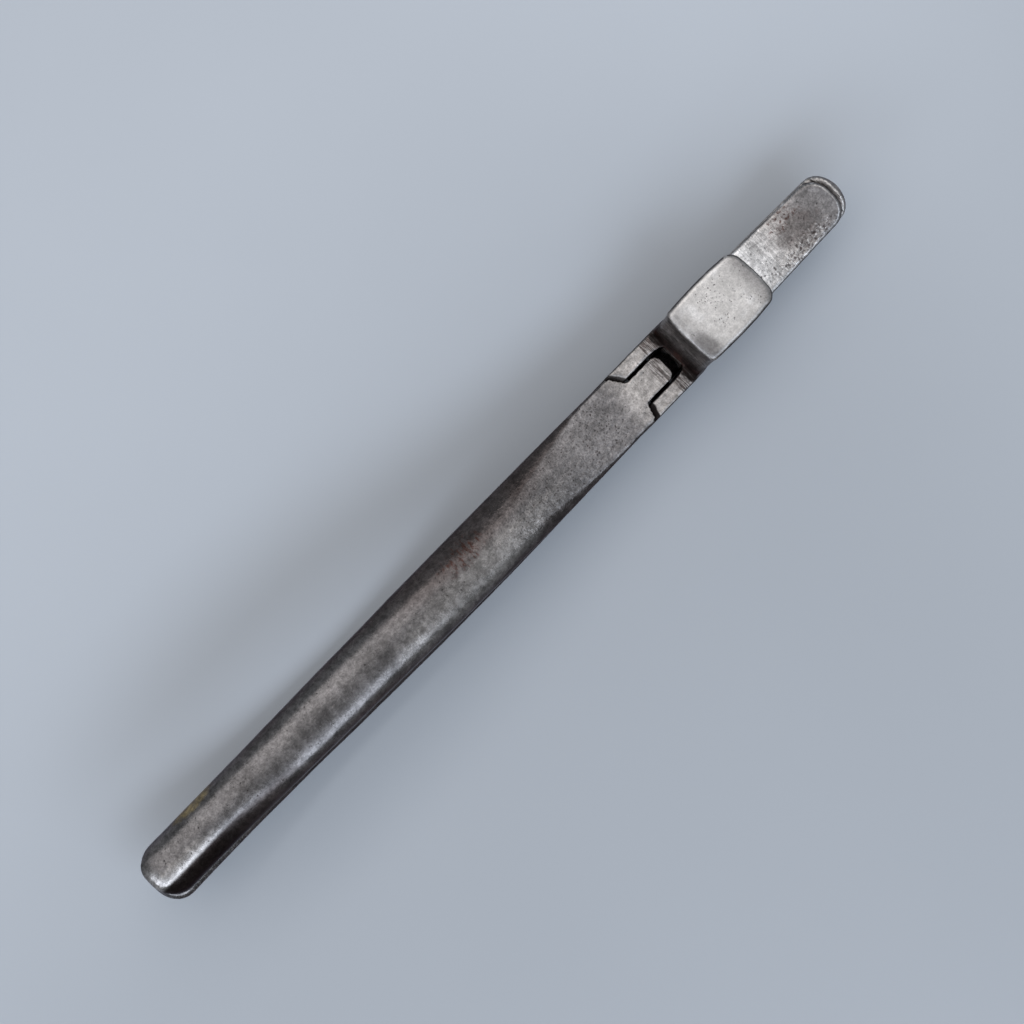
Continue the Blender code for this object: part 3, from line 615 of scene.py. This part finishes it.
def paint_box(steel):
    """The cheeks of the box joint: filed bright on top and at the sides."""
    box = steel.step(steel.x, *BOX)
    steel.paint(box, WORN_AND_SHADE, rough=0.4, share=0.8)
    box_top = steel.times(box, steel.top)
    steel.paint(box_top, FILED_AND_HIGHLIGHT, rough=0.40)
    sides = steel.times(steel.step(steel.x, *BOX_SIDES), steel.step(steel.flank, 0.85, 0.95))
    steel.paint(sides, GREY, rough=0.38, share=0.7)
    steel.file_marks(sides, strength=0.4)
    from_here = steel.step(steel.x, *CHEEK_MARKS_FROM, 0.15, 1.0)
    marked = steel.times(from_here, steel.step(steel.x, *CHEEK_MARKS_TO))
    steel.file_marks(steel.times(box_top, marked), strength=0.95)


def paint_scoop(steel):
    """The hollow behind the hammer block: grime and painted shade low down, lighter towards the face, rusty at its
    foot.
    """
    scoop = steel.times(steel.band(steel.x, *SCOOP_BAND), steel.step(steel.z, *SCOOP_Z))
    # Grime and painted shade: the hollow is darkest at its foot and lighter higher up
    lighter = steel.step(steel.z, *SCOOP_LIGHT_Z, 0.0, 0.9)
    steel.paint(scoop, steel.mix(lighter, GRIME_AND_SHADE, FILED_AND_HIGHLIGHT), rough=0.38)
    steel.file_marks(scoop, strength=0.5)
    foot = steel.times(steel.band(steel.x, *FOOT_BAND), steel.band(steel.z, *FOOT_BAND_Z))
    steel.paint(steel.times(foot, steel.step(steel.blotch, 0.40, 0.65)), RUST, rough=0.6, share=0.6)


def paint_face(steel):
    """The hammer face: bright, polished in patches, with painted shade at both rounded ends. Returns its mask."""
    face = steel.times(steel.step(steel.facing_z, 0.85, 0.97), steel.step(steel.z, *FACE_Z))
    face = steel.times(face, steel.band(steel.x, *FACE_BAND))
    steel.paint(face, BRIGHT, rough=0.36)
    polish = steel.step(steel.clouds(4.5, offset=19.0), 0.48, 0.66)
    steel.paint(steel.times(face, polish), POLISH_AND_HIGHLIGHT, share=0.45)
    # Painted shade: both rounded ends of the face are laid grey
    steel.paint(steel.times(face, steel.step(steel.x, *FACE_FRONT_SHADE)), GREY, share=0.75)
    steel.paint(steel.times(face, steel.step(steel.x, *FACE_REAR_SHADE)), GREY, share=0.45)
    steel.paint(steel.times(face, steel.patch(FACE_SMUDGE, 0.3, 4.0)), WORN_AND_SHADE, share=0.7)
    return face


def paint_upper_jaw(steel):
    """The beak's back: a painted highlight at the root, painted shade and wear to the tip, with a smudge, rust,
    speckle and painted glints.
    """
    jaw = steel.times(steel.step(steel.x, *UPPER_JAW), steel.step(steel.facing_z, 0.5, 0.8))
    # Painted highlight at the root of the beak's back, fading through grey to painted shade and wear at the tip
    steel.paint(jaw, steel.mix(steel.step(steel.x, *JAW_HIGHLIGHT_FADE), POLISH_AND_HIGHLIGHT, FILED_AND_HIGHLIGHT), rough=0.36)
    steel.paint(steel.times(jaw, steel.step(steel.x, *JAW_GREY)), GREY, share=0.85)
    steel.paint(steel.times(jaw, steel.step(steel.x, *JAW_TIP_SHADE_AND_WEAR)), WORN_AND_SHADE, share=0.4)
    steel.file_marks(steel.times(jaw, steel.band(steel.x, *JAW_MARKS_BAND)), strength=0.28)
    uneven = steel.step(steel.blotch, 0.25, 0.65, 0.35, 1.0)
    smudge = steel.times(steel.patch(JAW_SMUDGE, 0.6, 2.4), uneven)
    steel.paint(steel.times(jaw, smudge), SATIN, share=0.85)
    rust = steel.step(steel.clouds(0.8, 4.0, offset=71.0), 0.49, 0.65, 0.08, 0.85)
    steel.paint(steel.times(jaw, steel.patch(JAW_RUST, 0.6), rust), RUST, rough=0.5)
    speckled = steel.times(jaw, steel.patch(JAW_SIDE_PITS, 0.7))
    speckle = steel.clouds(0.6, 2.0, offset=53.0)
    # Painted glints: light specks among the dark pits on the beak's side
    steel.paint(steel.times(speckled, steel.step(speckle, 0.56, 0.66)), POLISH_AND_HIGHLIGHT, share=0.5)
    steel.paint(steel.times(speckled, steel.step(speckle, 0.46, 0.36)), PATINA_AND_SHADE, share=0.65)
    steel.raise_by(steel.times(speckled, speckle), SPECKLE_HEIGHT)


def paint_work_marks_and_shade(steel):
    """Pits in the face and beak, bright edges partly as painted highlight, dirt and painted shade in the notches
    behind the hammer block.
    """
    for place in FACE_PITS:
        steel.pitting(steel.patch(place), pitch=0.50, strength=0.85)
    for place in (JAW_ROOT_PITS, JAW_SIDE_PITS):
        steel.pitting(steel.patch(place), pitch=0.95, strength=0.9, share=0.8, radius=0.70)
    # Worn edges painted bright, partly as a painted highlight on the rounded edges of the hammer and beak
    edges = steel.times(steel.step(steel.x, *WORKED_EDGES_AND_HIGHLIGHT), steel.step(steel.edge, 0.53, 0.60))
    steel.paint(edges, BRIGHT, rough=0.3, share=steel.step(steel.blotch, 0.2, 0.6, 0.4, 1.0))
    rim = steel.times(steel.step(steel.x, *UPPER_RIM), steel.step(steel.edge, 0.515, 0.56))
    steel.paint(rim, POLISH_AND_HIGHLIGHT, rough=0.32, share=0.8)
    # Dirt and painted shade: the notches behind the hammer block are painted black
    for place in (LEFT_NOTCH_SHADE, RIGHT_NOTCH_SHADE):
        steel.paint(steel.patch(place), SOOT_AND_SHADE, rough=0.7, share=0.9)


def rust_slot_and_shade_seats(steel):
    """Rust in the slot that the tongue turns in, and black seats for the shoulders: dirt with painted shade."""
    squares = steel.plus(steel.times(steel.x, steel.x), steel.times(steel.z, steel.z))
    slot = steel.times(
        steel.step(steel.math("SQRT", squares), *SLOT_REACH),
        steel.step(steel.beside, *SLOT_BESIDE),
        steel.step(steel.facing_z, 0.8, 0.4),
    )
    steel.paint(slot, RUST, rough=0.6, share=0.95)
    # Dirt and painted shade: the seat walls in the gaps at the shoulders are painted black
    seats = steel.times(steel.band(steel.x, *SEAT_BAND), steel.step(steel.facing_x, -0.12, -0.32))
    seats = steel.times(seats, steel.step(steel.beside, *SEAT_BESIDE))
    steel.paint(seats, SOOT_AND_SHADE, rough=0.8, share=steel.step(steel.y, *SEAT_SOOT_Y, 0.95, 0.78))


def hammer_arm_steel():
    steel = Steel("hammer_arm_steel")
    specks = steel.times(steel.patch(BUTT_SPECKS), steel.step(steel.grain, 0.52, 0.62))
    steel.paint(specks, GREY, rough=0.4, share=0.8)
    paint_box(steel)
    paint_scoop(steel)
    face = paint_face(steel)
    paint_upper_jaw(steel)
    paint_work_marks_and_shade(steel)
    steel.weather_and_shade(steel.flipped(steel.times(face, 0.55)), steel.flipped(steel.times(face, 0.45)))
    rust_slot_and_shade_seats(steel)
    return steel.finish()


def rivet_steel():
    """Filed ends, and a shank painted black as shade inside the joint."""
    steel = Steel("rivet_steel")
    steel.paint(1.0, FILED_AND_HIGHLIGHT, rough=0.38)
    steel.file_marks(1.0, strength=0.45)
    steel.weather_and_shade()
    # Painted shade: the shank inside the joint is painted black
    steel.paint(steel.step(steel.beside, *RIVET_SHANK_BESIDE), SOOT_AND_SHADE, rough=0.8)
    return steel.finish()


# Stage

def floor():
    surface = Surface("board_paint")
    surface.colour = surface.mix(surface.clouds(FLOOR_CLOUD, 2.0), *FLOOR_PAINT)
    # Painted shade and light: the floor darkens towards -Y and brightens towards +X
    surface.shade(surface.step(surface.y, *FLOOR_SHADE_Y))
    surface.shade(surface.step(surface.x, *FLOOR_SHADE_X))
    bpy.ops.mesh.primitive_plane_add(size=FLOOR_SIZE)
    board = bpy.context.object
    board.name = "board"
    board.data.materials.append(surface.finish(metallic=0.0))


def softbox(name, place, target, size, power, colour):
    lamp = bpy.data.lights.new(name, "AREA")
    lamp.shape = "RECTANGLE"
    lamp.size, lamp.size_y = size
    lamp.energy = power
    lamp.color = colour
    holder = link(bpy.data.objects.new(name, lamp))
    holder.location = place
    holder.rotation_euler = (Vector(target) - Vector(place)).to_track_quat("-Z", "Y").to_euler()


def lights():
    world = bpy.data.worlds.new("room")
    bpy.context.scene.world = world
    world.use_nodes = True
    background = world.node_tree.nodes["Background"]
    background.inputs["Color"].default_value = WORLD_COLOUR
    background.inputs["Strength"].default_value = WORLD_STRENGTH
    for settings in SOFTBOXES:
        softbox(*settings)


def camera():
    lens = bpy.data.cameras.new("camera")
    lens.sensor_width = SENSOR_WIDTH
    lens.lens = FOCAL_PIXELS / IMAGE_SIZE * SENSOR_WIDTH
    holder = link(bpy.data.objects.new("camera", lens))
    holder.location = (PIVOT.x + CAMERA_SHIFT[0], PIVOT.y + CAMERA_SHIFT[1], CAMERA_HEIGHT)
    holder.rotation_euler = (0, 0, CAMERA_TURN)
    bpy.context.scene.camera = holder


camera()
floor()
lights()
steel_piece("tongue_arm", "tongue_half", tongue_arm_steel())
steel_piece("hammer_arm", "hammer_half", hammer_arm_steel())
rivet = frame["nodes"]["joint_rivet"]
rivet.data.materials.clear()
rivet.data.materials.append(rivet_steel())
bpy.context.scene.view_settings.view_transform = "Standard"
